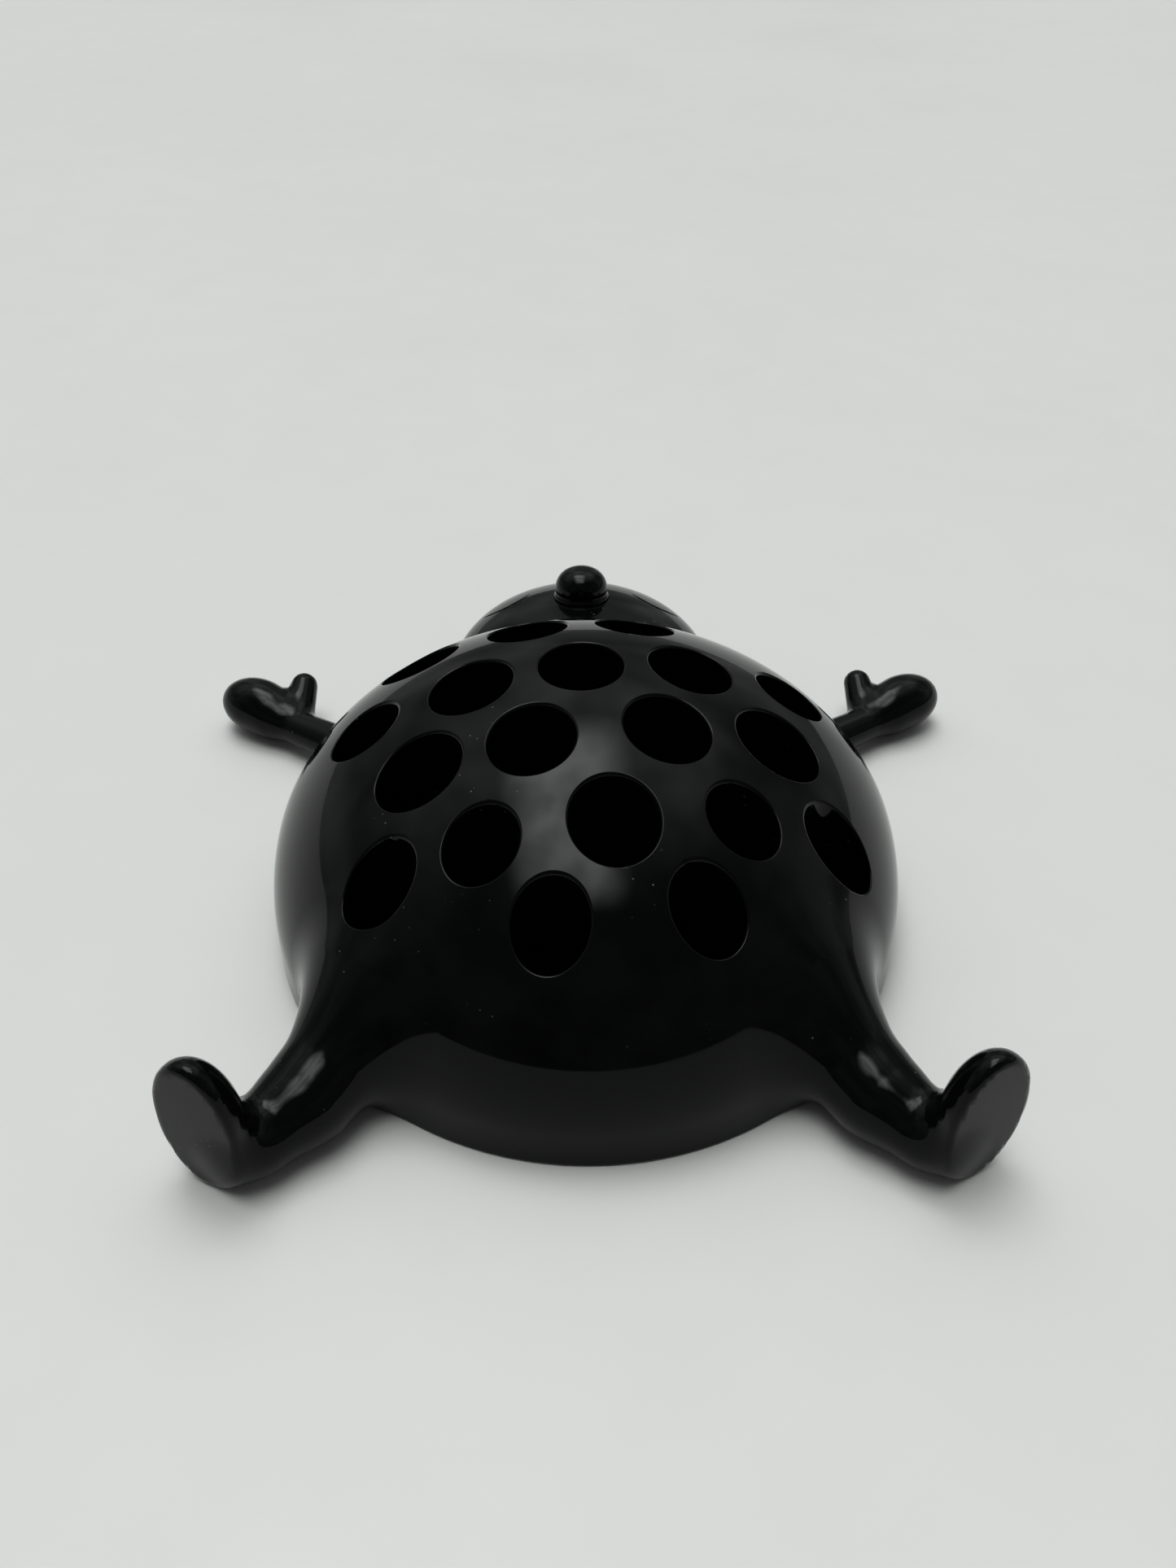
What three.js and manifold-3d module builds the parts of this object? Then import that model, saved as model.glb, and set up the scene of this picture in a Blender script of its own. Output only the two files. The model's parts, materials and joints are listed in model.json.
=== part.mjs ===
// Desk pen holder: a gloss-black figure lying on its back, with open pen wells through its round belly.
// Millimetres. +Z is up, the feet point to -Y and the head to +Y. The origin is on the table,
// under the middle of the belly.
import * as THREE from 'three';
import { mergeVertices } from 'three/addons/utils/BufferGeometryUtils.js';
import Module from 'manifold-3d';

// ---- Driving dimensions ---------------------------------------------------------------------------
const STAND_OFF = 0.5;          // the shell's rim stands this high on its pads
const FIT = 0.3;                // clearance between pieces that are fitted together

const BELLY_HALF_WIDTH = 50;
const BELLY_FRONT = 55.6;       // from the belly's middle to its front edge
const BELLY_BACK = 43.4;        // and to its back edge
const BELLY_HEIGHT = 45;
const BELLY_SKIRT = 6.25;       // height of the upright wall under the dome
const PLAN_POWER = 1.82;        // roundness of the dome from above and from the side
const RISE_POWER = 1.95;
const WALL = 2.5;
const PLAN_SIDES = 28;          // facets round the hollow, and round the cover that fits in it
const DOME_STEPS = 7;           // facets from the hollow's foot to its top

const WELL_LARGE = 6.25;        // radii of the two sizes of well
const WELL_SMALL = 5.25;
const TUBE_WALL = 1.5;
// Rows of wells from the feet to the head, as shares of the belly's half width and front length.
const ROW_TILT = 0.103;         // rise of a row across the half width
const ROW_BOW = 0.112;          // how far a row's ends curve towards the head
const WELL_ROWS = [
  { y: -0.714, large: [], small: [-0.108, 0.308] },
  { y: -0.511, large: [0.064], small: [-0.578, -0.294, 0.42, 0.712] },
  { y: -0.257, large: [-0.48, -0.16, 0.222, 0.552], small: [] },
  { y: -0.004, large: [-0.342, -0.018, 0.308], small: [-0.668, 0.628] },
  { y: 0.286, large: [-0.524, -0.182, 0.156], small: [] },
];

const HIP = { u: 0.6, v: -0.638, z: 12, r: 8.6 };   // u, v: shares of the belly's plan
const KNEE = { out: 8.8, forward: 13.1, z: 6.6, r: 5.9 };
const ANKLE = { out: 14.6, forward: 19.1, z: 5.8, r: 5.2 };
const FOOT = { halfWidth: 6.5, halfDepth: 5.4, height: 23.6, toeOut: 26, sole: 1.2 };
const FOOT_OFFSET = { out: 6.1, forward: 2.4 };      // from the ankle to the foot's middle

const SHOULDER = { u: 0.66, v: 0.588, z: 5.5, r: 3.9 };
const WRIST = { out: 24, back: 16.4, z: 4.5, r: 3.1 };
const HAND = { out: 4.1, back: 3.4, z: 5.4, halfLength: 7.4, halfWidth: 5.2, turn: 28 };
const THUMB = { out: -4, back: 0.5, up: 0.8, lean: -0.4, length: 6.2, rise: 2.8, r: 2.4, tip: 2 };

const HEAD = { behind: 5.6, z: 8, halfWidth: 25, halfLength: 26.5, halfHeight: 15.5 };
const NECK = { from: -18.4, to: 1.6, z: 8, root: 18, tip: 14 };    // from the belly's back edge
const CHEST = { from: -23.4, to: -17.4, side: 24, high: 10, low: 8, root: 12, tip: 9 };
const BLEND = { leg: 8, foot: 4, sole: 0.8, neck: 8, head: 3, hand: 4, thumb: 2 };
const NOSE = { behind: 6.6, r: 4.9, height: 5.5, seat: 0.8, pegRadius: 2, pegLength: 4.5, tilt: 8 };

const PLATE_THICKNESS = 2.5;
const PAD = { r: 4.5, thickness: 1.2 };
const PADS = [[0.37, 0.64], [-0.58, 0.46], [-0.61, -0.41], [0.68, -0.3], [0, 0]];   // last one: the middle

const SCREW = { r: 1.3, headRadius: 2.7, headHeight: 1.2, length: 9 };
const BOSS_WALL = 1.9;
// Middles of the bosses, in the gaps between the wells, as shares of the belly's plan.
const BOSSES = [[0.04, 0.745], [0.6, 0.44], [-0.77, -0.27], [-0.35, -0.745], [0.59, -0.61]];

// ---- Solids ----------------------------------------------------------------------------------------
const wasm = await Module();
wasm.setup();

/** A closed three.js geometry as a solid that can be joined and cut. */
function solid(geometry) {
  const bare = geometry.index ? geometry.clone() : geometry;
  bare.deleteAttribute('normal');
  bare.deleteAttribute('uv');
  const merged = mergeVertices(bare, 1e-4);
  return new wasm.Manifold(new wasm.Mesh({
    numProp: 3,
    vertProperties: new Float32Array(merged.attributes.position.array),
    triVerts: new Uint32Array(merged.index.array),
  }));
}

function geometryOf(piece) {
  const mesh = piece.getMesh();
  const geometry = new THREE.BufferGeometry();
  geometry.setAttribute('position', new THREE.BufferAttribute(new Float32Array(mesh.vertProperties), 3));
  geometry.setIndex(new THREE.BufferAttribute(new Uint32Array(mesh.triVerts), 1));
  geometry.computeVertexNormals();
  return geometry;
}

/** An upright cylinder between two heights. */
function post(x, y, z0, z1, radius, sides = 20) {
  const geometry = new THREE.CylinderGeometry(radius, radius, z1 - z0, sides);
  geometry.rotateX(Math.PI / 2);
  geometry.translate(x, y, (z0 + z1) / 2);
  return solid(geometry);
}

function joinAll(pieces) {
  return pieces.reduce((whole, piece) => whole.add(piece));
}

// ---- The belly's shape ------------------------------------------------------------------------------
const reach = (v) => (v < 0 ? BELLY_FRONT : BELLY_BACK);

/** A place on the belly's plan, from its shares of the half width and of the front or back length. */
function plan(u, v) {
  return { x: u * BELLY_HALF_WIDTH, y: v * reach(v) };
}

/** Height of the dome over a place on the plan; 0 outside it. */
function domeHeight(x, y) {
  const share = Math.hypot(x / BELLY_HALF_WIDTH, y / reach(y));
  const rise = (BELLY_HEIGHT - BELLY_SKIRT) * (1 - share ** PLAN_POWER) ** (1 / RISE_POWER);
  return share < 1 ? BELLY_SKIRT + rise : 0;
}

/** A turned piece about Z, from its profile of [radius, height] pairs. */
function lathe(points, sides) {
  const geometry = new THREE.LatheGeometry(points.map(([r, z]) => new THREE.Vector2(r, z)), sides);
  return geometry.rotateX(Math.PI / 2);
}

/** The belly moved in by inset, from height floor up, as a solid. */
function bellySolid(inset, floor) {
  const profile = [[0, floor], [1, floor]];
  const rise = BELLY_HEIGHT - BELLY_SKIRT - inset;
  for (let step = 0; step < DOME_STEPS; step++) {
    const angle = Math.PI / 2 * step / DOME_STEPS;
    profile.push([Math.cos(angle) ** (2 / PLAN_POWER),
      BELLY_SKIRT + rise * Math.sin(angle) ** (2 / RISE_POWER)]);
  }
  profile.push([0, BELLY_SKIRT + rise]);
  const geometry = lathe(profile, PLAN_SIDES);
  const position = geometry.attributes.position;
  for (let i = 0; i < position.count; i++) {
    const y = position.getY(i);
    position.setX(i, position.getX(i) * (BELLY_HALF_WIDTH - inset));
    position.setY(i, y * (reach(y) - inset));
  }
  return solid(geometry);
}

// ---- The figure as a distance field -------------------------------------------------------------------
/** Smooth union of two distances, blended over a width of k. */
function blend(a, b, k) {
  const share = Math.min(Math.max(0.5 + 0.5 * (b - a) / k, 0), 1);
  return b * (1 - share) + a * share - k * share * (1 - share);
}

const cutBack = (a, b, k) => -blend(-a, -b, k);

/** Distance to a tapered, round-ended limb from a to b. */
function limb(p, a, b) {
  const ab = [b.x - a.x, b.y - a.y, b.z - a.z];
  const along = ((p.x - a.x) * ab[0] + (p.y - a.y) * ab[1] + (p.z - a.z) * ab[2]);
  const t = Math.min(Math.max(along / (ab[0] ** 2 + ab[1] ** 2 + ab[2] ** 2), 0), 1);
  const away = Math.hypot(p.x - a.x - t * ab[0], p.y - a.y - t * ab[1], p.z - a.z - t * ab[2]);
  return away - (a.r + (b.r - a.r) * t);
}

/** Distance to an ellipsoid about c with half sizes r, turned about Z by turn degrees. */
function ellipsoid(p, c, r, turn = 0) {
  const angle = THREE.MathUtils.degToRad(turn);
  const dx = p.x - c.x, dy = p.y - c.y, z = p.z - c.z;
  const x = Math.cos(angle) * dx + Math.sin(angle) * dy;
  const y = Math.cos(angle) * dy - Math.sin(angle) * dx;
  const near = Math.hypot(x / r[0], y / r[1], z / r[2]);
  const slope = Math.hypot(x / r[0] ** 2, y / r[1] ** 2, z / r[2] ** 2);
  return near * (near - 1) / Math.max(slope, 1e-9);
}

function belly(p) {
  const length = reach(p.y), dome = BELLY_HEIGHT - BELLY_SKIRT;
  const share = Math.max(Math.hypot(p.x / BELLY_HALF_WIDTH, p.y / length), 1e-6);
  const rise = Math.max((p.z - BELLY_SKIRT) / dome, 0);
  const value = share ** PLAN_POWER + rise ** RISE_POWER - 1;
  const outward = PLAN_POWER * share ** (PLAN_POWER - 2);
  const slope = Math.hypot(outward * p.x / BELLY_HALF_WIDTH ** 2, outward * p.y / length ** 2,
    RISE_POWER * rise ** (RISE_POWER - 1) / dome);
  return value / Math.max(slope, 1e-4);
}

const hip = { ...plan(HIP.u, HIP.v), z: HIP.z, r: HIP.r };
const knee = { x: hip.x + KNEE.out, y: hip.y - KNEE.forward, z: KNEE.z, r: KNEE.r };
const ankle = { x: hip.x + ANKLE.out, y: hip.y - ANKLE.forward, z: ANKLE.z, r: ANKLE.r };
const foot = { x: ankle.x + FOOT_OFFSET.out, y: ankle.y - FOOT_OFFSET.forward, z: FOOT.height / 2 };
const shoulder = { ...plan(SHOULDER.u, SHOULDER.v), z: SHOULDER.z, r: SHOULDER.r };
const wrist = { x: shoulder.x + WRIST.out, y: shoulder.y + WRIST.back, z: WRIST.z, r: WRIST.r };
const hand = { x: wrist.x + HAND.out, y: wrist.y + HAND.back, z: HAND.z };
const thumbRoot = { x: wrist.x + THUMB.out, y: wrist.y + THUMB.back, z: wrist.z + THUMB.up, r: THUMB.r };
const thumbTip = {
  x: thumbRoot.x + THUMB.lean, y: thumbRoot.y + THUMB.length, z: thumbRoot.z + THUMB.rise, r: THUMB.tip,
};
const head = { x: 0, y: BELLY_BACK + HEAD.behind, z: HEAD.z };
const neck = [
  { x: 0, y: BELLY_BACK + NECK.from, z: NECK.z, r: NECK.root },
  { x: 0, y: BELLY_BACK + NECK.to, z: NECK.z, r: NECK.tip },
];
const chest = [
  { x: 0, y: BELLY_BACK + CHEST.from, z: CHEST.high, r: CHEST.root },
  { x: CHEST.side, y: BELLY_BACK + CHEST.to, z: CHEST.low, r: CHEST.tip },
];

/** Signed distance, near enough, to the right arm with its mitten hand. */
function arm(x, y, z) {
  const p = { x, y, z };
  const palm = ellipsoid(p, hand, [HAND.halfLength, HAND.halfWidth, HAND.halfWidth], HAND.turn);
  const mitten = blend(limb(p, shoulder, wrist), palm, BLEND.hand);
  return blend(mitten, limb(p, thumbRoot, thumbTip), BLEND.thumb);
}

/** The same for the right shin with its foot, which ends in a nearly flat, upright sole. */
function shin(x, y, z) {
  const p = { x, y, z };
  const toe = THREE.MathUtils.degToRad(FOOT.toeOut);
  const ahead = (x - foot.x) * Math.sin(toe) - (y - foot.y) * Math.cos(toe) - FOOT.sole;
  const paddle = ellipsoid(p, foot, [FOOT.halfWidth, FOOT.halfDepth, FOOT.height / 2], FOOT.toeOut);
  return blend(limb(p, knee, ankle), cutBack(paddle, ahead, BLEND.sole), BLEND.foot);
}

/** The same for the rest of the figure, whose left side mirrors its right. */
function figure(x, y, z) {
  const p = { x: Math.abs(x), y, z };
  const shoulders = blend(limb(p, ...neck), limb(p, ...chest), BLEND.neck);
  const skull = ellipsoid(p, head, [HEAD.halfWidth, HEAD.halfLength, HEAD.halfHeight]);
  const torso = blend(belly(p), limb(p, hip, knee), BLEND.leg);
  return blend(blend(torso, shoulders, BLEND.neck), skull, BLEND.head);
}

/** The surface where field is 0, as a closed geometry: one vertex a cell, settled on the surface. */
function surfaceOf(field, low, high, cell) {
  const count = low.map((l, i) => Math.ceil((high[i] - l) / cell) + 1);
  const place = (i, axis) => low[axis] + i * cell;
  const at = (i, j, k) => i + count[0] * (j + count[1] * k);
  const values = new Float64Array(count[0] * count[1] * count[2]);
  for (let k = 0; k < count[2]; k++) {
    for (let j = 0; j < count[1]; j++) {
      for (let i = 0; i < count[0]; i++) {
        values[at(i, j, k)] = field(place(i, 0), place(j, 1), place(k, 2));
      }
    }
  }
  const positions = [], index = [], vertexOf = new Map();
  const corners = [0, 1, 2, 3, 4, 5, 6, 7].map((c) => [c & 1, (c >> 1) & 1, c >> 2]);
  for (let k = 0; k < count[2] - 1; k++) {
    for (let j = 0; j < count[1] - 1; j++) {
      for (let i = 0; i < count[0] - 1; i++) {
        const crossings = [];
        corners.forEach((a, m) => corners.forEach((b, n) => {
          const apart = Math.abs(a[0] - b[0]) + Math.abs(a[1] - b[1]) + Math.abs(a[2] - b[2]);
          if (n <= m || apart !== 1) return;
          const va = values[at(i + a[0], j + a[1], k + a[2])];
          const vb = values[at(i + b[0], j + b[1], k + b[2])];
          if ((va < 0) === (vb < 0)) return;
          const t = va / (va - vb);
          crossings.push(a.map((start, axis) => start + (b[axis] - start) * t));
        }));
        if (!crossings.length) continue;
        const [di, dj, dk] = [0, 1, 2].map((axis) => (
          crossings.reduce((sum, crossing) => sum + crossing[axis], 0) / crossings.length));
        vertexOf.set(at(i, j, k), positions.length / 3);
        positions.push(...settle(field, place(i + di, 0), place(j + dj, 1), place(k + dk, 2)));
      }
    }
  }
  const steps = [[1, 0, 0], [0, 1, 0], [0, 0, 1]];
  for (let k = 1; k < count[2] - 1; k++) {
    for (let j = 1; j < count[1] - 1; j++) {
      for (let i = 1; i < count[0] - 1; i++) {
        const here = values[at(i, j, k)] < 0;
        steps.forEach((step, axis) => {
          if (here === (values[at(i + step[0], j + step[1], k + step[2])] < 0)) return;
          const b = steps[(axis + 1) % 3], c = steps[(axis + 2) % 3];
          const quad = [[0, 0], [1, 0], [1, 1], [0, 1]].map(([s, t]) => vertexOf.get(
            at(i - s * b[0] - t * c[0], j - s * b[1] - t * c[1], k - s * b[2] - t * c[2])));
          if (!here) quad.reverse();
          index.push(quad[0], quad[1], quad[2], quad[0], quad[2], quad[3]);
        });
      }
    }
  }
  const geometry = new THREE.BufferGeometry();
  geometry.setAttribute('position', new THREE.Float32BufferAttribute(positions, 3));
  geometry.setIndex(index);
  return geometry;
}

/** Moves a point down the field's slope onto its surface, a little at a time. */
function settle(field, x, y, z) {
  const step = 0.05, furthest = 0.6;
  for (let round = 0; round < 4; round++) {
    const value = field(x, y, z);
    const slope = [
      (field(x + step, y, z) - field(x - step, y, z)) / (2 * step),
      (field(x, y + step, z) - field(x, y - step, z)) / (2 * step),
      (field(x, y, z + step) - field(x, y, z - step)) / (2 * step),
    ];
    const steep = slope[0] ** 2 + slope[1] ** 2 + slope[2] ** 2;
    const move = THREE.MathUtils.clamp(value / Math.max(steep, 0.05), -furthest, furthest);
    x -= slope[0] * move;
    y -= slope[1] * move;
    z -= slope[2] * move;
  }
  return [x, y, z];
}

// ---- Where things go ---------------------------------------------------------------------------------
const wells = WELL_ROWS.flatMap((row) => [
  ...row.large.map((u) => ({ u, radius: WELL_LARGE })),
  ...row.small.map((u) => ({ u, radius: WELL_SMALL })),
].map(({ u, radius }) => ({
  x: u * BELLY_HALF_WIDTH,
  y: (row.y + ROW_TILT * u + ROW_BOW * u * u) * BELLY_FRONT,
  radius,
})));
const bosses = BOSSES.map(([u, v]) => plan(u, v));
const pads = PADS.map(([u, v]) => plan(u, v));
const plateTop = STAND_OFF + PLATE_THICKNESS;
const headSeat = STAND_OFF + SCREW.headHeight + FIT;     // where the screws' heads bear in the plate
const pilotRadius = SCREW.r + FIT;
const bossRadius = pilotRadius + BOSS_WALL;
const nose = { x: 0, y: BELLY_BACK + NOSE.behind + HEAD.behind };
nose.z = HEAD.z + HEAD.halfHeight * Math.sqrt(1 - ((nose.y - head.y) / HEAD.halfLength) ** 2) - NOSE.seat;

// ---- Pieces ---------------------------------------------------------------------------------------------
/** Places a piece made about the nose's own foot onto the face. */
function ontoFace(geometry) {
  geometry.rotateX(-THREE.MathUtils.degToRad(NOSE.tilt));
  return geometry.translate(nose.x, nose.y, nose.z);
}

/** The same geometry on the other side of the plane x = 0. */
function mirrored(geometry) {
  const other = geometry.clone().scale(-1, 1, 1);
  const index = Array.from(geometry.index.array);
  for (let i = 0; i < index.length; i += 3) [index[i + 1], index[i + 2]] = [index[i + 2], index[i + 1]];
  return other.setIndex(index);
}

/** The figure's outside, from height below up. Arms, shins and feet are slim: they get a finer grid. */
function figureSolid(below) {
  const margin = 6, coarse = 4.3, fine = 2;
  const side = Math.max(hand.x + HAND.halfLength, foot.x + FOOT.halfWidth) + margin;
  const body = surfaceOf((x, y, z) => Math.max(figure(x, y, z), below - z),
    [-side, foot.y - FOOT.halfWidth - margin, below - margin],
    [side, head.y + HEAD.halfLength + margin, BELLY_HEIGHT + margin], coarse);
  const rightArm = surfaceOf(arm, [shoulder.x - margin, shoulder.y - margin, -margin],
    [side, thumbTip.y + margin, thumbTip.z + margin], fine);
  const rightShin = surfaceOf((x, y, z) => Math.max(shin(x, y, z), below - z),
    [knee.x - knee.r - margin, foot.y - FOOT.halfWidth - margin, below - margin],
    [side, knee.y + knee.r + margin, FOOT.height + margin], fine);
  return joinAll([body, rightArm, mirrored(rightArm), rightShin, mirrored(rightShin)].map(solid));
}

function bodyShell() {
  const below = -3, above = BELLY_HEIGHT + 5, clear = 5;
  const outside = figureSolid(below);
  const underside = new THREE.BoxGeometry(400, 400, 10).translate(0, 0, STAND_OFF - 5);
  const columns = joinAll([
    ...wells.map((w) => post(w.x, w.y, plateTop + FIT, domeHeight(w.x, w.y), w.radius + TUBE_WALL, 12)),
    ...bosses.map((b) => post(b.x, b.y, plateTop + FIT, domeHeight(b.x, b.y), bossRadius, 10)),
  ]).intersect(bellySolid(WALL / 2, below));
  const bores = joinAll([
    ...wells.map((w) => post(w.x, w.y, below, above, w.radius, 16)),
    ...bosses.map((b) => post(b.x, b.y, below, plateTop + SCREW.length, pilotRadius, 10)),
  ]);
  const socket = solid(ontoFace(lathe([[0, -NOSE.pegLength - FIT],
    [NOSE.pegRadius + FIT, -NOSE.pegLength - FIT], [NOSE.pegRadius + FIT, 0],
    [NOSE.r + FIT, 0], [NOSE.r + FIT, clear], [0, clear]], 20)));
  return geometryOf(outside.subtract(solid(underside)).subtract(bellySolid(WALL, below))
    .add(columns).subtract(bores).subtract(socket));
}

/** The round-topped knob, with the peg that is pressed into the face. */
function noseKnob() {
  const upright = 0.35;           // share of its height below the rounding
  const profile = [[0, -NOSE.pegLength], [NOSE.pegRadius, -NOSE.pegLength], [NOSE.pegRadius, FIT],
    [NOSE.r, FIT]];
  for (let degrees = 0; degrees < 90; degrees += 15) {
    const angle = THREE.MathUtils.degToRad(degrees);
    profile.push([NOSE.r * Math.cos(angle), NOSE.height * (upright + (1 - upright) * Math.sin(angle))]);
  }
  profile.push([0, NOSE.height]);
  return geometryOf(solid(ontoFace(lathe(profile, 20))));
}

/** The belly's plan, moved in by inset. */
function planShape(inset) {
  const points = [];
  for (let i = 0; i < PLAN_SIDES; i++) {
    const angle = 2 * Math.PI * i / PLAN_SIDES;
    const y = Math.sin(angle);
    points.push(new THREE.Vector2(Math.cos(angle) * (BELLY_HALF_WIDTH - inset), y * (reach(y) - inset)));
  }
  return new THREE.Shape(points);
}

/** The cover, with stepped screw holes and a shallow seat for each pad. */
function basePlate() {
  const outline = planShape(WALL + FIT);
  const slab = new THREE.ExtrudeGeometry(outline, { depth: PLATE_THICKNESS, bevelEnabled: false });
  const cuts = joinAll([
    ...bosses.map((b) => post(b.x, b.y, -1, plateTop + 1, pilotRadius, 16)),
    ...bosses.map((b) => post(b.x, b.y, -1, headSeat, SCREW.headRadius + FIT, 16)),
    ...pads.map((p) => post(p.x, p.y, -1, PAD.thickness + FIT, PAD.r + FIT, 20)),
  ]);
  return geometryOf(solid(slab.translate(0, 0, STAND_OFF)).subtract(cuts));
}

/** A self-tapping screw, head down, that holds the cover to the boss at b. */
function baseScrew(b) {
  const top = headSeat - FIT;
  const geometry = lathe([[0, STAND_OFF], [SCREW.headRadius, STAND_OFF], [SCREW.headRadius, top],
    [SCREW.r, top], [SCREW.r, top + SCREW.length - 1], [0, top + SCREW.length]], 12);
  return geometryOf(solid(geometry.translate(b.x, b.y, 0)));
}

// ---- Assembly -------------------------------------------------------------------------------------------
const glossBlack = { color: 0x0b0c0c, roughness: 0.06, metalness: 0 };
const mattBlack = { color: 0x151616, roughness: 0.6, metalness: 0 };
const rubberBlack = { color: 0x1c1c1c, roughness: 0.9, metalness: 0 };
const zincSteel = { color: 0x9a9c9e, roughness: 0.35, metalness: 1 };

const penHolder = new THREE.Group();

function add(name, geometry, look) {
  const mesh = new THREE.Mesh(geometry, new THREE.MeshStandardMaterial(look));
  mesh.name = name;
  penHolder.add(mesh);
}

add('body_shell', bodyShell(), glossBlack);
add('nose_knob', noseKnob(), glossBlack);
add('base_plate', basePlate(), mattBlack);
bosses.forEach((b, i) => add(`base_screw_${i + 1}`, baseScrew(b), zincSteel));
pads.forEach((p, i) => add(`foot_pad_${i + 1}`,
  geometryOf(post(p.x, p.y, 0, PAD.thickness, PAD.r, 20)), rubberBlack));

export default penHolder;
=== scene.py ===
"""Desk pen holder: a gloss-black figure lying on its back, with open pen wells through its round belly.

The outside is one smooth distance field, as in the CAD part, polygonised finely. The wells, the
closed eyes and the seat of the nose are cut into it, and the outside's normals come from the field.
Lengths are millimetres until they reach Blender.
"""
import json
import math

import bpy
import numpy as np
from mathutils import Matrix, Vector


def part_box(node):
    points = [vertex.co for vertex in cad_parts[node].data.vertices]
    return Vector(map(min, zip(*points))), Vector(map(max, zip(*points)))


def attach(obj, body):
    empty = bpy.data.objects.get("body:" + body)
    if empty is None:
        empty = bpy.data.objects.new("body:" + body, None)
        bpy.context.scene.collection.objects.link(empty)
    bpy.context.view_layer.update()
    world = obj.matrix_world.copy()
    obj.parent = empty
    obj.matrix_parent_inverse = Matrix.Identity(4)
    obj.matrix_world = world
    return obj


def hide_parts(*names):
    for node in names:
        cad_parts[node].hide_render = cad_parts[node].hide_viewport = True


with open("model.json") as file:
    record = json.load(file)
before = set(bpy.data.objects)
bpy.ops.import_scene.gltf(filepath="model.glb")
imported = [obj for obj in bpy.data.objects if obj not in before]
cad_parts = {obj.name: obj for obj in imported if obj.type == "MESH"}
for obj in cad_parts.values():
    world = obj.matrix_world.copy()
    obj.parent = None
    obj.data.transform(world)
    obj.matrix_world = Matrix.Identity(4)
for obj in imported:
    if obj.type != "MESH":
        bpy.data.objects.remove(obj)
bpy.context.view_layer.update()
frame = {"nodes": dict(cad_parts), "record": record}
MM = 0.001

# ---- The figure's sizes, as in the part ----------------------------------------------------------
STAND_OFF = 0.5
BELLY_HALF_WIDTH, BELLY_FRONT, BELLY_BACK = 50, 55.6, 43.4
BELLY_HEIGHT, BELLY_SKIRT = 45, 6.25
PLAN_POWER, RISE_POWER = 1.82, 1.95
WALL = 2.5
WELL_LARGE, WELL_SMALL = 6.25, 5.25
HIP = (30, -35.47, 12, 8.6)                  # x, y, z and radius of each joint of a limb
KNEE = (38.8, -48.57, 6.6, 5.9)
ANKLE = (44.6, -54.57, 5.8, 5.2)
FOOT = {"middle": (50.7, -56.97, 11.8), "half": (6.5, 5.4, 11.8), "turn": 26, "sole": 1.2}
SHOULDER = (33, 25.52, 5.5, 3.9)
WRIST = (57, 41.92, 4.5, 3.1)
HAND = {"middle": (61.1, 45.32, 5.4), "half": (7.4, 5.2, 5.2), "turn": 28}
THUMB_ROOT = (53, 42.42, 5.3, 2.8)           # a little fuller than the part's faceted thumb
THUMB_TIP = (52.6, 48.12, 7.9, 2.5)
NECK = ((0, 25, 8, 18), (0, 45, 8, 14))
CHEST = ((0, 20, 10, 12), (24, 26, 8, 9))
HEAD = {"middle": (0, 49, 8), "half": (25, 26.5, 15.5)}
NOSE = {"y": 55.6, "r": 4.9, "height": 5.5, "tilt": 8, "gap": 0.3}
EYE = {"x": 14.2, "y": 58.5, "half_width": 4.4, "sag": 2.4, "slant": 1.2, "r": 0.42}
BLEND = {"leg": 8, "knee": 3, "foot": 4, "sole": 0.8, "neck": 8, "head": 3, "shoulder": 4, "hand": 4,
         "thumb": 2}                         # widths of the smooth joins
FIT = 0.3                                    # gap between the hollow's roof and the cover

# ---- How finely it is made -----------------------------------------------------------------------
CELL = 0.9                                   # size of the polygonising grid
BOTTOM = -3.5                                # the field's end, below the table
MARGIN = 5                                   # empty space round the grid, and cutters' overshoot
RIM = 0.45                                   # radius of the rounded edge round each well
RIM_END = math.radians(75)                   # the rounding stops here, short of the surface
RIM_REACH = 0.8 * RIM                        # faces this near to a well's wall are shaded as its rim
WELL_SIDES, POCKET_SIDES, GROOVE_SIDES = 96, 112, 16
EYE_POINTS = 33


# ---- The figure as a distance field --------------------------------------------------------------
def blend(a, b, k):
    """Smooth union of two distances, blended over a width of k."""
    share = np.clip(0.5 + 0.5 * (b - a) / k, 0, 1)
    return b * (1 - share) + a * share - k * share * (1 - share)


def limb(x, y, z, a, b):
    """Distance to a tapered, round-ended limb."""
    ab = [b[i] - a[i] for i in range(3)]
    along = (x - a[0]) * ab[0] + (y - a[1]) * ab[1] + (z - a[2]) * ab[2]
    t = np.clip(along / sum(c * c for c in ab), 0, 1)
    away = np.sqrt((x - a[0] - t * ab[0]) ** 2 + (y - a[1] - t * ab[1]) ** 2 + (z - a[2] - t * ab[2]) ** 2)
    return away - (a[3] + (b[3] - a[3]) * t)


def ellipsoid(x, y, z, middle, half, turn=0):
    """Distance, near enough, to an ellipsoid turned about Z by turn degrees."""
    c, s = math.cos(math.radians(turn)), math.sin(math.radians(turn))
    dx, dy, dz = x - middle[0], y - middle[1], z - middle[2]
    px, py = c * dx + s * dy, c * dy - s * dx
    near = np.sqrt((px / half[0]) ** 2 + (py / half[1]) ** 2 + (dz / half[2]) ** 2)
    slope = np.sqrt((px / half[0] ** 2) ** 2 + (py / half[1] ** 2) ** 2 + (dz / half[2] ** 2) ** 2)
    return near * (near - 1) / np.maximum(slope, 1e-9)


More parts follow.
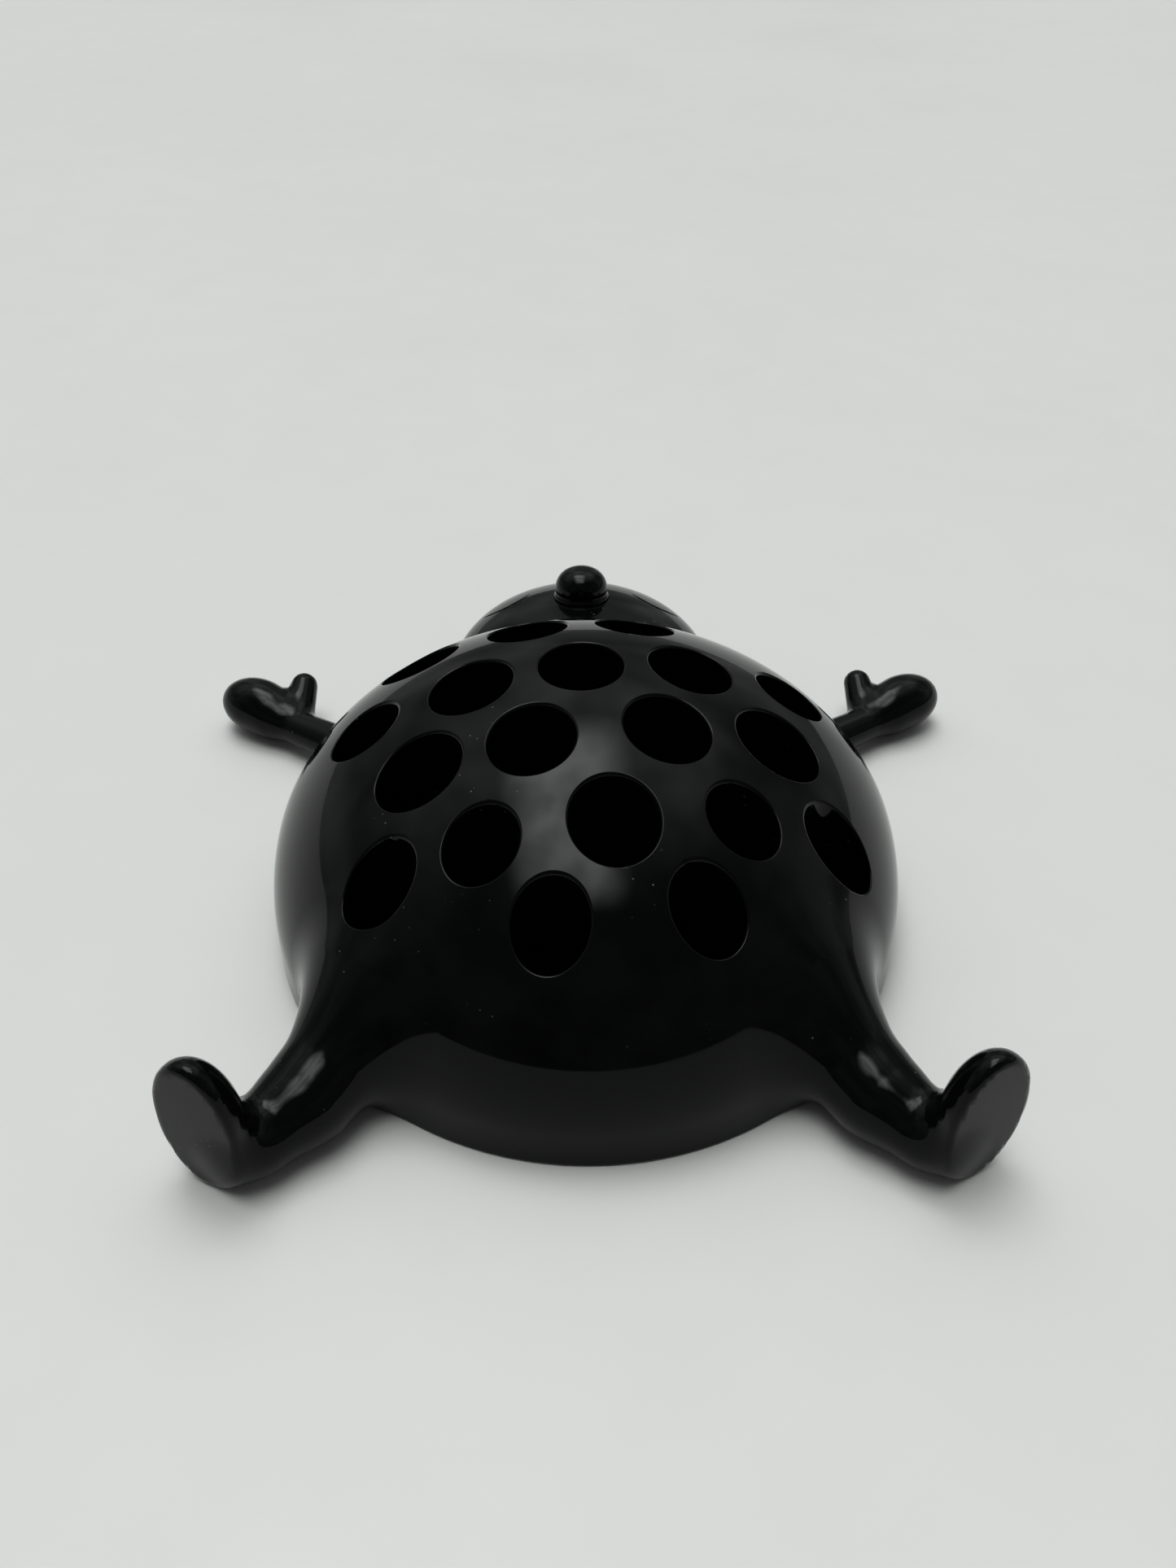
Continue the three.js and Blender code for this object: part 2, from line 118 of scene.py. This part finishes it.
def belly(x, y, z):
    length = np.where(y < 0, BELLY_FRONT, BELLY_BACK)
    dome = BELLY_HEIGHT - BELLY_SKIRT
    share = np.maximum(np.sqrt((x / BELLY_HALF_WIDTH) ** 2 + (y / length) ** 2), 1e-6)
    rise = np.maximum((z - BELLY_SKIRT) / dome, 0)
    outward = PLAN_POWER * share ** (PLAN_POWER - 2)
    slope = np.sqrt((outward * x / BELLY_HALF_WIDTH ** 2) ** 2 + (outward * y / length ** 2) ** 2
                    + (RISE_POWER * rise ** (RISE_POWER - 1) / dome) ** 2)
    return (share ** PLAN_POWER + rise ** RISE_POWER - 1) / np.maximum(slope, 1e-4)


def figure(points):
    """Signed distance, near enough, to the whole figure without its wells."""
    x, y, z = np.abs(points[..., 0]), points[..., 1], points[..., 2]
    toe = math.radians(FOOT["turn"])
    ahead = ((x - FOOT["middle"][0]) * math.sin(toe) - (y - FOOT["middle"][1]) * math.cos(toe)
             - FOOT["sole"])
    paddle = ellipsoid(x, y, z, FOOT["middle"], FOOT["half"], FOOT["turn"])
    foot = -blend(-paddle, -ahead, BLEND["sole"])
    shin = blend(limb(x, y, z, KNEE, ANKLE), foot, BLEND["foot"])
    palm = ellipsoid(x, y, z, HAND["middle"], HAND["half"], HAND["turn"])
    mitten = blend(limb(x, y, z, SHOULDER, WRIST), palm, BLEND["hand"])
    arm = blend(mitten, limb(x, y, z, THUMB_ROOT, THUMB_TIP), BLEND["thumb"])
    torso = blend(belly(x, y, z), limb(x, y, z, HIP, KNEE), BLEND["leg"])
    torso = blend(torso, shin, BLEND["knee"])
    shoulders = blend(limb(x, y, z, *NECK), limb(x, y, z, *CHEST), BLEND["neck"])
    torso = blend(torso, shoulders, BLEND["neck"])
    skull = ellipsoid(x, y, z, HEAD["middle"], HEAD["half"])
    return blend(blend(torso, skull, BLEND["head"]), arm, BLEND["shoulder"])


def closed(points):
    """The figure's field with a flat end below the table, to be cut off."""
    return np.maximum(figure(points), BOTTOM - points[..., 2])


def slope_of(points, step=0.02):
    """The field's slope at each point."""
    result = np.empty_like(points)
    for axis in range(3):
        shift = np.zeros(3)
        shift[axis] = step
        result[..., axis] = (figure(points + shift) - figure(points - shift)) / (2 * step)
    return result


def unit(vectors):
    return vectors / np.maximum(np.linalg.norm(vectors, axis=-1, keepdims=True), 1e-12)


def crossings_of(values, inside):
    """The mean crossing of the surface with each cell's edges, in cells, and how many edges cross it."""
    cells = tuple(n - 1 for n in values.shape)
    total, count = np.zeros(cells + (3,)), np.zeros(cells)

    def corner(array, offset):
        return array[tuple(slice(o, o + n) for o, n in zip(offset, cells))]

    for axis in range(3):
        others = [a for a in range(3) if a != axis]
        for s, t in ((0, 0), (0, 1), (1, 0), (1, 1)):
            a, b = [0, 0, 0], [0, 0, 0]
            a[others[0]] = b[others[0]] = s
            a[others[1]] = b[others[1]] = t
            b[axis] = 1
            va, vb = corner(values, a), corner(values, b)
            crossed = corner(inside, a) != corner(inside, b)
            share = np.where(crossed, va / np.where(crossed, va - vb, 1), 0)
            place = np.array(a, float) + share[..., None] * (np.array(b) - np.array(a))
            total += place * crossed[..., None]
            count += crossed
    return total / np.maximum(count, 1)[..., None], count


def quads_of(inside, number):
    """A quad, facing out, round each grid edge that crosses the surface."""
    quads = []
    for axis in range(3):
        b, c = (axis + 1) % 3, (axis + 2) % 3
        crossed = inside != np.roll(inside, -1, axis=axis)
        crossed[tuple(slice(-1, None) if a == axis else slice(None) for a in range(3))] = False
        at = np.stack(np.nonzero(crossed), axis=-1)
        ring = []
        for s, t in ((0, 0), (1, 0), (1, 1), (0, 1)):
            spot = at.copy()
            spot[:, b] -= s
            spot[:, c] -= t
            ring.append(number[tuple(spot.T)])
        ring = np.stack(ring, axis=-1)
        flip = ~inside[tuple(at.T)]
        ring[flip] = ring[flip][:, ::-1]
        quads.append(ring)
    return np.concatenate(quads)


def settled(points, lowest, rounds=5, furthest=0.4, least_slope=0.05):
    """The points above lowest, moved along the field's slope onto its surface, and the rest as they are."""
    for _ in range(rounds):
        slope = slope_of(points)
        steep = np.maximum((slope ** 2).sum(-1), least_slope)
        move = slope * np.clip(figure(points) / steep, -furthest, furthest)[:, None]
        points = points - move * (points[:, 2:] > lowest)
    return points


def surface_of(low, high, cell):
    """Vertices and quads where the field is 0: one vertex a cell, settled on the surface."""
    axes = [np.arange(start, end + cell, cell) for start, end in zip(low, high)]
    values = closed(np.stack(np.meshgrid(*axes, indexing="ij"), axis=-1))
    inside = values < 0
    middle, count = crossings_of(values, inside)
    filled = count > 0
    number = np.full(filled.shape, -1)
    number[filled] = np.arange(filled.sum())
    start = np.stack(np.nonzero(filled), axis=-1)
    points = (start + middle[filled]) * cell + np.array([axis[0] for axis in axes])
    return settled(points, BOTTOM + cell), quads_of(inside, number)


def height_at(x, y, rounds=40):
    """Height of the figure's top over places (x, y), by halving."""
    low, high = np.full(x.shape, BELLY_SKIRT - 3.0), np.full(x.shape, BELLY_HEIGHT + 5.0)
    for _ in range(rounds):
        middle = (low + high) / 2
        within = figure(np.stack([x, y, middle], axis=-1)) < 0
        low, high = np.where(within, middle, low), np.where(within, high, middle)
    return low


# ---- Meshes --------------------------------------------------------------------------------------
def mesh_object(name, points, faces, smooth=True):
    """A Blender object from points in millimetres."""
    mesh = bpy.data.meshes.new(name)
    mesh.from_pydata((np.asarray(points) * MM).tolist(), [], [tuple(int(i) for i in f) for f in faces])
    mesh.validate()
    mesh.polygons.foreach_set("use_smooth", [smooth] * len(mesh.polygons))
    mesh.update()
    made = bpy.data.objects.new(name, mesh)
    bpy.context.scene.collection.objects.link(made)
    return made


def rings_closed(rings):
    """Points and faces of a tube of equal rings, capped at both ends; each ring turns anticlockwise."""
    sides = len(rings[0])
    points = np.concatenate(rings)
    faces = [[i for i in range(sides)][::-1]]
    for row in range(len(rings) - 1):
        for i in range(sides):
            j = (i + 1) % sides
            faces.append([row * sides + i, row * sides + j, (row + 1) * sides + j, (row + 1) * sides + i])
    faces.append([(len(rings) - 1) * sides + i for i in range(sides)])
    return points, faces


def joined(parts):
    """Several (points, faces) as one."""
    points, faces, first = [], [], 0
    for some, theirs in parts:
        points.append(some)
        faces += [[first + i for i in face] for face in theirs]
        first += len(some)
    return np.concatenate(points), faces


def circle(sides):
    angle = np.arange(sides) * 2 * math.pi / sides
    return np.cos(angle), np.sin(angle)


def ring_at(x, y, z, radius):
    c, s = circle(WELL_SIDES)
    return np.stack([x + radius * c, y + radius * s, z + 0 * c], axis=-1)


def well_cutter(x, y, radius, bottom):
    """The empty space of a well, which opens out a little at its mouth so that the edge is rounded."""
    c, s = circle(WELL_SIDES)
    rings = [ring_at(x, y, bottom, radius)]
    for angle in np.linspace(0, RIM_END, 7):
        out = radius + RIM * (1 - math.cos(angle))
        px, py = x + out * c, y + out * s
        rings.append(np.stack([px, py, height_at(px, py) - RIM * (1 - math.sin(angle))], axis=-1))
    rings.append(rings[-1] + (0, 0, 4))
    return rings_closed(rings)


def cut(target, cutter):
    """Takes cutter out of target."""
    modifier = target.modifiers.new(cutter.name, "BOOLEAN")
    modifier.operation, modifier.solver, modifier.object = "DIFFERENCE", "MANIFOLD", cutter
    graph = bpy.context.evaluated_depsgraph_get()
    cut_mesh = bpy.data.meshes.new_from_object(target.evaluated_get(graph))
    target.modifiers.clear()
    old, target.data = target.data, cut_mesh
    bpy.data.meshes.remove(old)
    used = cutter.data
    bpy.data.objects.remove(cutter)
    bpy.data.meshes.remove(used)


# ---- The body ------------------------------------------------------------------------------------
def wells():
    """Middle and radius of each well, from the openings that the part states."""
    found = []
    for opening in frame["record"]["physics"]["openings"]:
        low, high = opening["box_m"]
        middle = [(low[i] + high[i]) / 2 / MM for i in (0, 1)]
        wide = (high[0] - low[0]) / MM > 8
        found.append((middle[0], middle[1], WELL_LARGE if wide else WELL_SMALL))
    return found


def nose_frame():
    """Middle of the nose's foot on the face, and its upright direction."""
    half, middle = HEAD["half"], HEAD["middle"]
    z = middle[2] + half[2] * math.sqrt(1 - ((NOSE["y"] - middle[1]) / half[1]) ** 2)
    tilt = math.radians(NOSE["tilt"])
    turn = Matrix.Rotation(-tilt, 3, "X")
    return np.array([0, NOSE["y"], z]), np.array(turn)


def eye_line(side):
    """Middle line of a closed eye, a shallow arc lying on the face."""
    t = np.linspace(-1, 1, EYE_POINTS)
    x = side * (EYE["x"] + EYE["half_width"] * t)
    y = EYE["y"] - EYE["sag"] * (1 - t * t) - EYE["slant"] * t
    return np.stack([x, y, height_at(x, y)], axis=-1)


def eye_cutter(line):
    """A thin round groove along the line, tapering at its ends."""
    along = unit(np.gradient(line, axis=0))
    out = unit(slope_of(line))
    across = unit(np.cross(out, along))
    c, s = circle(GROOVE_SIDES)
    thinnest = 0.12
    rings = []
    for i, place in enumerate(line):
        t = 2 * i / (len(line) - 1) - 1
        r = EYE["r"] * max(1 - t ** 4, thinnest) ** 0.5
        rings.append(place + r * (c[:, None] * across[i] + s[:, None] * out[i]))
    points, faces = rings_closed(rings)
    if np.dot(np.cross(across[0], out[0]), along[0]) < 0:
        faces = [face[::-1] for face in faces]
    return points, faces


def body(plate_top):
    """The whole shell, with its underside open up to the cover, its wells, nose seat and closed eyes."""
    reach_x = HAND["middle"][0] + HAND["half"][0] + MARGIN
    low = (-reach_x - CELL / 2, FOOT["middle"][1] - FOOT["half"][0] - MARGIN, -3 - MARGIN)
    high = (reach_x, HEAD["middle"][1] + HEAD["half"][1] + MARGIN, BELLY_HEIGHT + MARGIN)
    figure_body = mesh_object("figure_body", *surface_of(low, high, CELL))
    slab_radius, slab_bottom = 150, -60
    under = rings_closed([ring_at(0, 0, z, slab_radius) for z in (slab_bottom, STAND_OFF)])
    cut(figure_body, mesh_object("under", *under))
    c, s = circle(POCKET_SIDES)
    outline = [c * (BELLY_HALF_WIDTH - WALL), s * (np.where(s < 0, BELLY_FRONT, BELLY_BACK) - WALL)]
    pocket = rings_closed([np.stack([*outline, 0 * c + z], axis=-1) for z in (-MARGIN, plate_top + FIT)])
    cut(figure_body, mesh_object("pocket", *pocket))
    holes = wells()
    drills = [well_cutter(x, y, radius, plate_top - 1) for x, y, radius in holes]
    cut(figure_body, mesh_object("wells", *joined(drills)))
    foot, turn = nose_frame()
    seat_radius, seat_bottom = NOSE["r"] + NOSE["gap"], -1.2
    seat = rings_closed([ring_at(0, 0, z, seat_radius) @ turn.T + foot for z in (seat_bottom, MARGIN)])
    eyes = [eye_line(side) for side in (-1, 1)]
    cut(figure_body, mesh_object("face", *joined([seat] + [eye_cutter(line) for line in eyes])))
    shade(figure_body.data, holes, np.concatenate(eyes), foot, plate_top)
    return figure_body


def read(collection, key, width=1, kind=float):
    """One value, or a row of width values, for each item of a Blender collection."""
    values = np.empty(len(collection) * width, kind)
    collection.foreach_get(key, values)
    return values.reshape(-1, width) if width > 1 else values


def rim_normals(points, outward, holes):
    """The outward normals, turned inwards round each well's rounded rim and down its wall."""
    turned_in = outward.copy()
    for x, y, radius in holes:
        away = points[:, :2] - (x, y)
        far = np.linalg.norm(away, axis=1)
        near = far < radius + RIM_REACH
        angle = np.arccos(np.clip(1 - (far[near] - radius) / RIM, -1, 1))
        angle = np.clip(angle, 0, math.pi / 2)[:, None]
        inward = np.concatenate([-away[near] / far[near][:, None], np.zeros((near.sum(), 1))], axis=1)
        turned_in[near] = unit(np.cos(angle) * inward + np.sin(angle) * outward[near])
    return turned_in


def shade(mesh, holes, eye_points, foot, plate_top):
    """Sets each corner's normal from the field, so that reflections run smoothly right up to the cuts."""
    points = read(mesh.vertices, "co", 3) / MM
    outward = unit(slope_of(points))
    vertex = read(mesh.loops, "vertex_index", kind=int)
    order = np.argsort(read(mesh.polygons, "loop_start", kind=int))
    owner = np.repeat(order, read(mesh.polygons, "loop_total", kind=int)[order])
    flat = read(mesh.polygons, "normal", 3)
    centre = read(mesh.polygons, "center", 3) / MM
    depth = figure(centre)                   # below 0 inside the figure, as the walls of the cuts are
    in_well = np.zeros(len(centre), bool)
    for x, y, radius in holes:
        in_well |= np.linalg.norm(centre[:, :2] - (x, y), axis=1) < radius + RIM_REACH
    in_well &= depth < -0.002
    rims = rim_normals(points, outward, holes)
    normals = np.where(in_well[owner][:, None], rims[vertex], outward[vertex])
    near = 1.5
    by_eye = np.linalg.norm(centre[:, None] - eye_points[None, ::4], axis=2).min(1) < near
    by_nose = np.linalg.norm(centre - foot, axis=1) < NOSE["r"] + near
    on_face = (depth < -0.02) & ~in_well & (by_eye | by_nose)
    underneath = (centre[:, 2] < plate_top + FIT + 0.01) & ((flat[:, 2] < -0.9) | (depth < -1))
    plain = on_face | underneath
    normals[plain[owner]] = flat[owner][plain[owner]]
    groove = (on_face & by_eye)[owner]
    corner = points[vertex[groove]]
    nearest = np.linalg.norm(corner[:, None] - eye_points[None], axis=2).argmin(1)
    normals[groove] = unit(eye_points[nearest] + 0.02 * outward[vertex[groove]] - corner)
    mesh.polygons.foreach_set("use_smooth", [True] * len(centre))
    mesh.normals_split_custom_set(normals.tolist())
    mesh.update()


def nose():
    """The round-topped knob, which flares into a thin ring at its foot."""
    r, height = NOSE["r"], NOSE["height"]
    profile = [(0.02, -0.9), (r - 0.3, -0.9), (r + 0.1, -0.6), (r + 0.22, -0.1), (r + 0.24, 0.1),
               (r + 0.16, 0.28), (r + 0.02, 0.42), (r - 0.1, 0.62), (r - 0.13, 0.9), (r - 0.1, 1.2)]
    upright = 1.5
    for degrees in np.arange(0, 91, 5):
        angle = math.radians(degrees)
        out = (r - 0.05) * math.cos(angle) ** 0.86
        profile.append((max(out, 0.02), upright + (height - upright) * math.sin(angle) ** 0.95))
    foot, turn = nose_frame()
    points, faces = rings_closed([ring_at(0, 0, z, radius) @ turn.T + foot for radius, z in profile])
    return mesh_object("nose_ball", points, faces)


# ---- Materials -----------------------------------------------------------------------------------
class Nodes:
    """A short way to make and join a material's nodes."""

    def __init__(self, name, color, roughness, metallic=0.0):
        self.material = bpy.data.materials.new(name)
        self.material.use_nodes = True
        self.material.diffuse_color = (*color, 1)
        self.tree = self.material.node_tree
        self.shader = self.tree.nodes["Principled BSDF"]
        self.shader.inputs["Base Color"].default_value = (*color, 1)
        self.shader.inputs["Roughness"].default_value = roughness
        self.shader.inputs["Metallic"].default_value = metallic
        self.place = self.add("ShaderNodeTexCoord").outputs["Object"]

    def add(self, kind, **values):
        node = self.tree.nodes.new(kind)
        for key, value in values.items():
            setattr(node, key, value)
        return node

    def link(self, a, b):
        self.tree.links.new(a, b)

    def stretched(self, scale):
        """Object coordinates, scaled along each axis."""
        node = self.add("ShaderNodeMapping")
        node.inputs["Scale"].default_value = scale
        self.link(self.place, node.inputs["Vector"])
        return node.outputs["Vector"]

    def noise(self, scale, detail=2.0, where=None):
        node = self.add("ShaderNodeTexNoise")
        node.inputs["Scale"].default_value = scale
        node.inputs["Detail"].default_value = detail
        self.link(where or self.place, node.inputs["Vector"])
        return node.outputs["Fac"]

    def specks(self, scale, size):
        """Small dots, 1 in the middle of each and 0 between them."""
        node = self.add("ShaderNodeTexVoronoi")
        node.inputs["Scale"].default_value = scale
        self.link(self.place, node.inputs["Vector"])
        return self.between(node.outputs["Distance"], 0, size, 1, 0)

    def between(self, value, low, high, out_low, out_high):
        node = self.add("ShaderNodeMapRange")
        for key, number in zip(("From Min", "From Max", "To Min", "To Max"), (low, high, out_low, out_high)):
            node.inputs[key].default_value = number
        self.link(value, node.inputs["Value"])
        return node.outputs["Result"]

    def maths(self, operation, a, b):
        node = self.add("ShaderNodeMath", operation=operation)
        for socket, value in zip(node.inputs, (a, b)):
            if isinstance(value, (int, float)):
                socket.default_value = value
            else:
                self.link(value, socket)
        return node.outputs["Value"]

    def mix(self, share, a, b):
        node = self.add("ShaderNodeMix", data_type="RGBA")
        self.link(share, node.inputs["Factor"])
        node.inputs["A"].default_value = (*a, 1)
        node.inputs["B"].default_value = (*b, 1)
        return node.outputs["Result"]

    def bump(self, height, distance, strength=1.0):
        node = self.add("ShaderNodeBump")
        node.inputs["Distance"].default_value = distance
        node.inputs["Strength"].default_value = strength
        self.link(height, node.inputs["Height"])
        self.link(node.outputs["Normal"], self.shader.inputs["Normal"])


def gloss_black():
    """Polished moulded plastic: a faint ripple, hairline scratches and a little dust."""
    n = Nodes("gloss_black", (0.0015, 0.0017, 0.0018), 0.05)
    n.shader.inputs["IOR"].default_value = 1.23
    dust = n.maths("MULTIPLY", n.specks(620, 0.1), n.between(n.noise(95), 0.56, 0.66, 0, 1))
    n.link(n.mix(dust, (0.0015, 0.0017, 0.0018), (0.16, 0.16, 0.155)), n.shader.inputs["Base Color"])
    haze = n.between(n.noise(38, 4), 0.35, 0.75, 0.035, 0.085)
    scratch = n.noise(60, 3, n.stretched((1.0, 26.0, 9.0)))
    lines = n.between(scratch, 0.70, 0.76, 0, 0.04)
    rough = n.maths("ADD", haze, n.maths("ADD", lines, n.maths("MULTIPLY", dust, 0.5)))
    n.link(rough, n.shader.inputs["Roughness"])
    n.bump(n.maths("ADD", n.noise(22, 1), n.maths("MULTIPLY", scratch, 0.02)), 0.00002, 0.5)
    return n.material


def matt_black():
    """The cover: fine spark-eroded texture with rubbed patches."""
    n = Nodes("matt_black", (0.012, 0.0125, 0.013), 0.6)
    grain = n.noise(2600, 3)
    n.link(n.between(n.noise(50, 3), 0.3, 0.7, 0.5, 0.68), n.shader.inputs["Roughness"])
    tint = n.mix(n.noise(30, 3), (0.010, 0.0105, 0.011), (0.016, 0.0165, 0.017))
    n.link(tint, n.shader.inputs["Base Color"])
    n.bump(grain, 0.00005, 0.6)
    return n.material


def zinc():
    """Zinc-plated screw steel, finely turned."""
    n = Nodes("zinc_steel", (0.52, 0.53, 0.54), 0.34, 1.0)
    n.link(n.between(n.noise(900, 3), 0.3, 0.7, 0.26, 0.44), n.shader.inputs["Roughness"])
    n.link(n.mix(n.noise(350, 2), (0.46, 0.47, 0.48), (0.6, 0.6, 0.58)), n.shader.inputs["Base Color"])
    n.bump(n.noise(700, 2, n.stretched((1.0, 1.0, 12.0))), 0.00002, 0.5)
    return n.material


def pad_rubber():
    """Dull rubber with a fine grain and a little pale dust."""
    n = Nodes("pad_rubber", (0.022, 0.022, 0.022), 0.85)
    n.link(n.mix(n.between(n.noise(700, 4), 0.5, 0.8, 0, 1), (0.02, 0.02, 0.02), (0.06, 0.06, 0.057)),
           n.shader.inputs["Base Color"])
    n.link(n.between(n.noise(400, 3), 0.3, 0.7, 0.75, 0.95), n.shader.inputs["Roughness"])
    n.bump(n.noise(3000, 2), 0.00004, 0.7)
    return n.material


def table_top():
    """Pale smooth board with a faint mottle and a few specks."""
    n = Nodes("table_top", (0.66, 0.665, 0.655), 0.55)
    mottle = n.mix(n.noise(60, 5), (0.655, 0.665, 0.652), (0.685, 0.692, 0.68))
    n.link(mottle, n.shader.inputs["Base Color"])
    n.link(n.between(n.noise(9, 3), 0.3, 0.7, 0.5, 0.62), n.shader.inputs["Roughness"])
    n.bump(n.noise(700, 3), 0.00005, 0.25)
    return n.material


# ---- Assembly ------------------------------------------------------------------------------------
plate_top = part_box("base_plate")[1][2] / MM
black = gloss_black()
for piece, node in ((body(plate_top), "body_shell"), (nose(), "nose_knob")):
    piece.data.materials.clear()
    piece.data.materials.append(black)
    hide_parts(node)
    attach(piece, "root")

finishes = {"base_plate": matt_black(), "base_screw": zinc(), "foot_pad": pad_rubber()}
for name, node in frame["nodes"].items():
    for start, finish in finishes.items():
        if name.startswith(start):
            node.material_slots[0].material = finish

# ---- Stage ---------------------------------------------------------------------------------------
floor_mesh = bpy.data.meshes.new("table")
floor_mesh.from_pydata([(-4, -4, 0), (4, -4, 0), (4, 4, 0), (-4, 4, 0)], [], [(0, 1, 2, 3)])
floor = bpy.data.objects.new("table", floor_mesh)
bpy.context.scene.collection.objects.link(floor)
floor.data.materials.append(table_top())

world = bpy.data.worlds.new("studio")
bpy.context.scene.world = world
world.use_nodes = True
tree = world.node_tree
tree.nodes.clear()

# The studio, by direction. The panel's x and y are the sides of its rectangle at height 1, z and the
# others' limits are where each fades in, and clouds are a noise scale with the least and most share.
ROOM = {"behind": 0.1, "ahead": 0.28, "y": (-0.6, 0.35), "clouds": (2.2, 0.45, 1.55)}
PANEL = {"radiance": 5.0, "x": (-0.36, 0.14), "y": (-0.36, 0.55), "soft": 0.13, "z": (0.1, 0.4),
         "clouds": (5.0, 0.7, 1.3)}
GLOW = {"radiance": 0.7, "z": (0.45, 0.85), "y": (-0.25, 0.35)}


def world_node(kind, **values):
    node = tree.nodes.new(kind)
    for key, value in values.items():
        setattr(node, key, value)
    return node


def feed(value, socket):
    """Gives a socket a number, or another node's output."""
    if isinstance(value, (int, float)):
        socket.default_value = value
    else:
        tree.links.new(value, socket)


def sum_of(a, b, operation="ADD"):
    node = world_node("ShaderNodeMath", operation=operation)
    feed(a, node.inputs[0])
    feed(b, node.inputs[1])
    return node.outputs["Value"]


def product(*values):
    whole = values[0]
    for value in values[1:]:
        whole = sum_of(whole, value, "MULTIPLY")
    return whole


def rising(value, start, end, low=0.0, high=1.0):
    """A smooth step from low to high as value goes from start to end."""
    node = world_node("ShaderNodeMapRange", interpolation_type="SMOOTHSTEP")
    for key, number in zip(("From Min", "From Max", "To Min", "To Max"), (start, end, low, high)):
        node.inputs[key].default_value = number
    feed(value, node.inputs["Value"])
    return node.outputs["Result"]


def window(value, limits, soft):
    """1 between two limits, with soft edges, and 0 outside."""
    low, high = limits
    return product(rising(value, low - soft, low + soft), rising(value, high - soft, high + soft, 1.0, 0.0))


def uneven(scale, low, high):
    """Slow cloudy changes by direction, between low and high."""
    node = world_node("ShaderNodeTexNoise")
    node.inputs["Scale"].default_value = scale
    feed(direction, node.inputs["Vector"])
    return rising(node.outputs["Fac"], 0.3, 0.7, low, high)


# A wide soft panel overhead, a pale wall beyond the head and a dim room, all by direction.
direction = world_node("ShaderNodeTexCoord").outputs["Generated"]
parts = world_node("ShaderNodeSeparateXYZ")
feed(direction, parts.inputs["Vector"])
x, y, z = (parts.outputs[axis] for axis in "XYZ")
upward = sum_of(z, 0.05, "MAXIMUM")
panel = product(window(sum_of(x, upward, "DIVIDE"), PANEL["x"], PANEL["soft"]),
                window(sum_of(y, upward, "DIVIDE"), PANEL["y"], PANEL["soft"]),
                rising(z, *PANEL["z"]), PANEL["radiance"])
glow = product(rising(z, *GLOW["z"]), rising(y, *GLOW["y"]), GLOW["radiance"])
dim = sum_of(glow, rising(y, *ROOM["y"], ROOM["behind"], ROOM["ahead"]))
light = sum_of(product(panel, uneven(*PANEL["clouds"])), product(dim, uneven(*ROOM["clouds"])))
room = world_node("ShaderNodeBackground")
room.inputs["Color"].default_value = (0.98, 1.0, 0.99, 1)
feed(light, room.inputs["Strength"])
seen = world_node("ShaderNodeBackground")
seen.inputs["Color"].default_value = (0.68, 0.69, 0.675, 1)
choose = world_node("ShaderNodeMixShader")
feed(world_node("ShaderNodeLightPath").outputs["Is Camera Ray"], choose.inputs["Fac"])
feed(room.outputs["Background"], choose.inputs[1])
feed(seen.outputs["Background"], choose.inputs[2])
feed(choose.outputs["Shader"], world_node("ShaderNodeOutputWorld").inputs["Surface"])

# ---- Camera --------------------------------------------------------------------------------------
CAMERA = {"place": (-3.6, -169.6, 157.2), "pitch": 38.55, "yaw": -1.3, "roll": 0.4, "lens": 31.76}
pitch, yaw, roll = (math.radians(CAMERA[key]) for key in ("pitch", "yaw", "roll"))
back = Vector((math.sin(yaw) * math.cos(pitch), -math.cos(yaw) * math.cos(pitch), math.sin(pitch)))
right = (-back).cross(Vector((0, 0, 1))).normalized()
up = right.cross(-back)
right, up = math.cos(roll) * right + math.sin(roll) * up, math.cos(roll) * up - math.sin(roll) * right
lens = bpy.data.cameras.new("camera")
lens.lens, lens.sensor_width, lens.sensor_fit = CAMERA["lens"], 36, "AUTO"
lens.clip_start = 0.01
camera = bpy.data.objects.new("camera", lens)
camera.matrix_world = Matrix.Translation(Vector(CAMERA["place"]) * MM) @ Matrix(
    (right, up, back)).transposed().to_4x4()
bpy.context.scene.collection.objects.link(camera)
bpy.context.scene.camera = camera
bpy.context.scene.view_settings.view_transform = "Standard"
